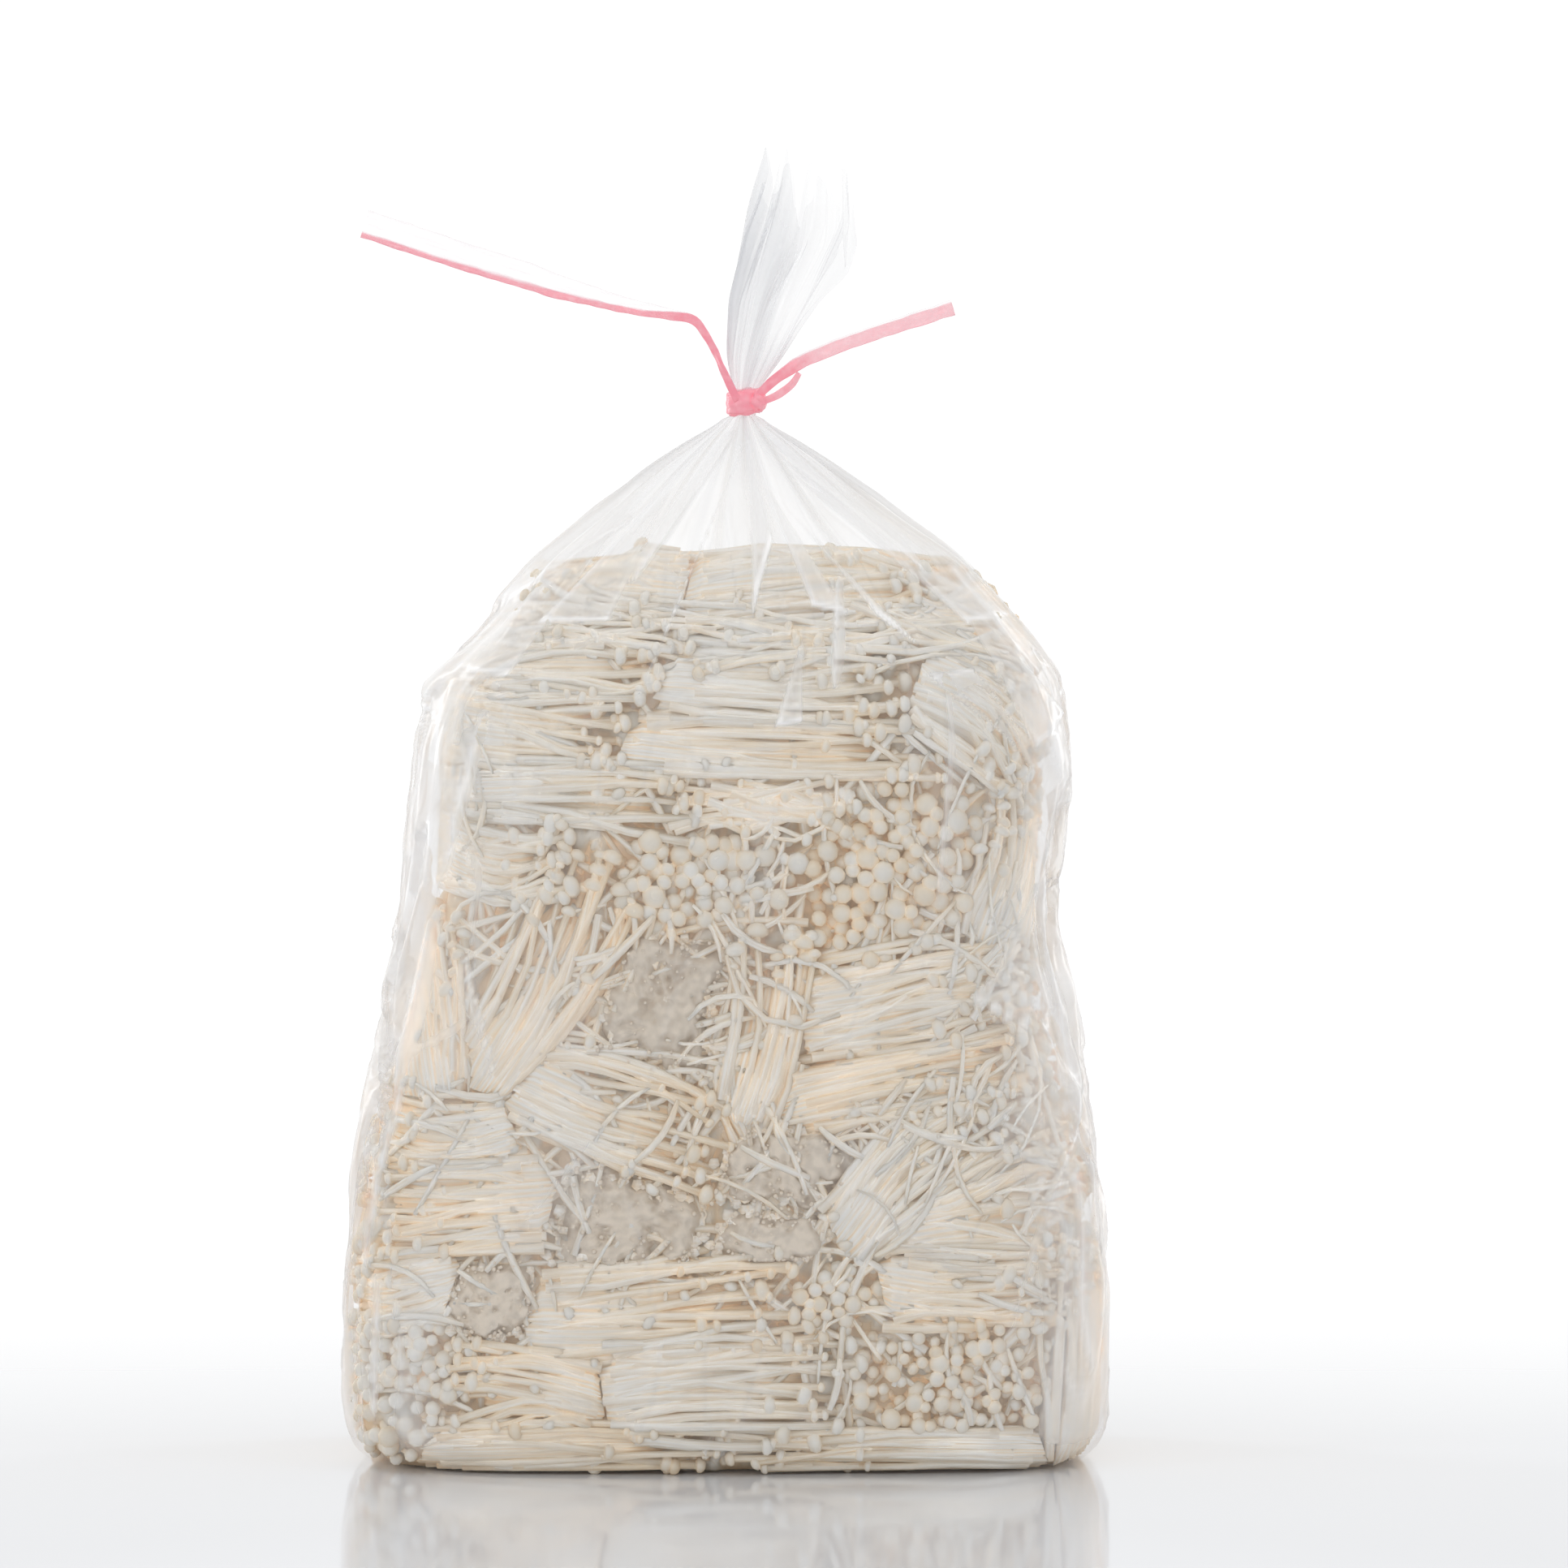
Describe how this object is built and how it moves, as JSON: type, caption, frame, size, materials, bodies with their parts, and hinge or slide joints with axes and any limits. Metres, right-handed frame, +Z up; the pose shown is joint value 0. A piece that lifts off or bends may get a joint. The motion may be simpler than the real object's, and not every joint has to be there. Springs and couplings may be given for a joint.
{
  "type": "enoki mushroom bunches in a tied clear bag",
  "caption": "Clear plastic bag packed with cut bunches of enoki mushrooms, its neck gathered and tied with flat pink tape, standing on its base.",
  "frame": {"origin": "middle of the flat base of the bag's bounding box", "axes": "+Z up along the bag's height, -Y the front face, X across the bag's width"},
  "size_m": [0.24, 0.134, 0.406],
  "materials": {
    "film": "clear thin film, glossy",
    "tape": "translucent pink tape, glossy",
    "mushroom": "moist cream flesh, satin",
    "loose": "moist white flesh, satin"
  },
  "bodies": {
    "root": {"bag_film": "film", "tie_tape": "tape", "bunch_front_01": "mushroom", "bunch_front_02": "mushroom", "bunch_front_03": "mushroom", "bunch_front_04": "mushroom", "bunch_front_05": "mushroom", "bunch_front_06": "mushroom", "bunch_front_07": "mushroom", "bunch_front_08": "mushroom", "bunch_front_09": "mushroom", "bunch_front_10": "mushroom", "bunch_front_11": "mushroom", "bunch_front_12": "mushroom", "bunch_front_13": "mushroom", "bunch_front_14": "mushroom", "bunch_front_15": "mushroom", "bunch_front_16": "mushroom", "bunch_front_17": "mushroom", "bunch_front_18": "mushroom", "bunch_front_19": "mushroom", "bunch_front_20": "mushroom", "bunch_front_21": "mushroom", "bunch_front_22": "mushroom", "bunch_front_23": "mushroom", "bunch_front_24": "mushroom", "bunch_front_25": "mushroom", "bunch_front_26": "mushroom", "bunch_front_27": "mushroom", "bunch_front_28": "mushroom", "bunch_front_29": "mushroom", "bunch_front_30": "mushroom", "bunch_front_31": "mushroom", "bunch_front_32": "mushroom", "bunch_front_33": "mushroom", "bunch_front_34": "mushroom", "bunch_front_35": "mushroom", "bunch_front_36": "mushroom", "bunch_front_37": "mushroom", "bunch_front_38": "mushroom", "bunch_front_39": "mushroom", "loose_stems_front": "loose", "bunch_back_01": "mushroom", "bunch_back_02": "mushroom", "bunch_back_03": "mushroom", "bunch_back_04": "mushroom", "bunch_back_05": "mushroom", "bunch_back_06": "mushroom", "bunch_back_07": "mushroom", "bunch_back_08": "mushroom", "bunch_back_09": "mushroom", "bunch_back_10": "mushroom", "bunch_back_11": "mushroom", "bunch_back_12": "mushroom", "bunch_back_13": "mushroom", "bunch_back_14": "mushroom", "bunch_back_15": "mushroom", "bunch_back_16": "mushroom", "bunch_back_17": "mushroom", "loose_stems_back": "loose"}
  },
  "joints": []
}
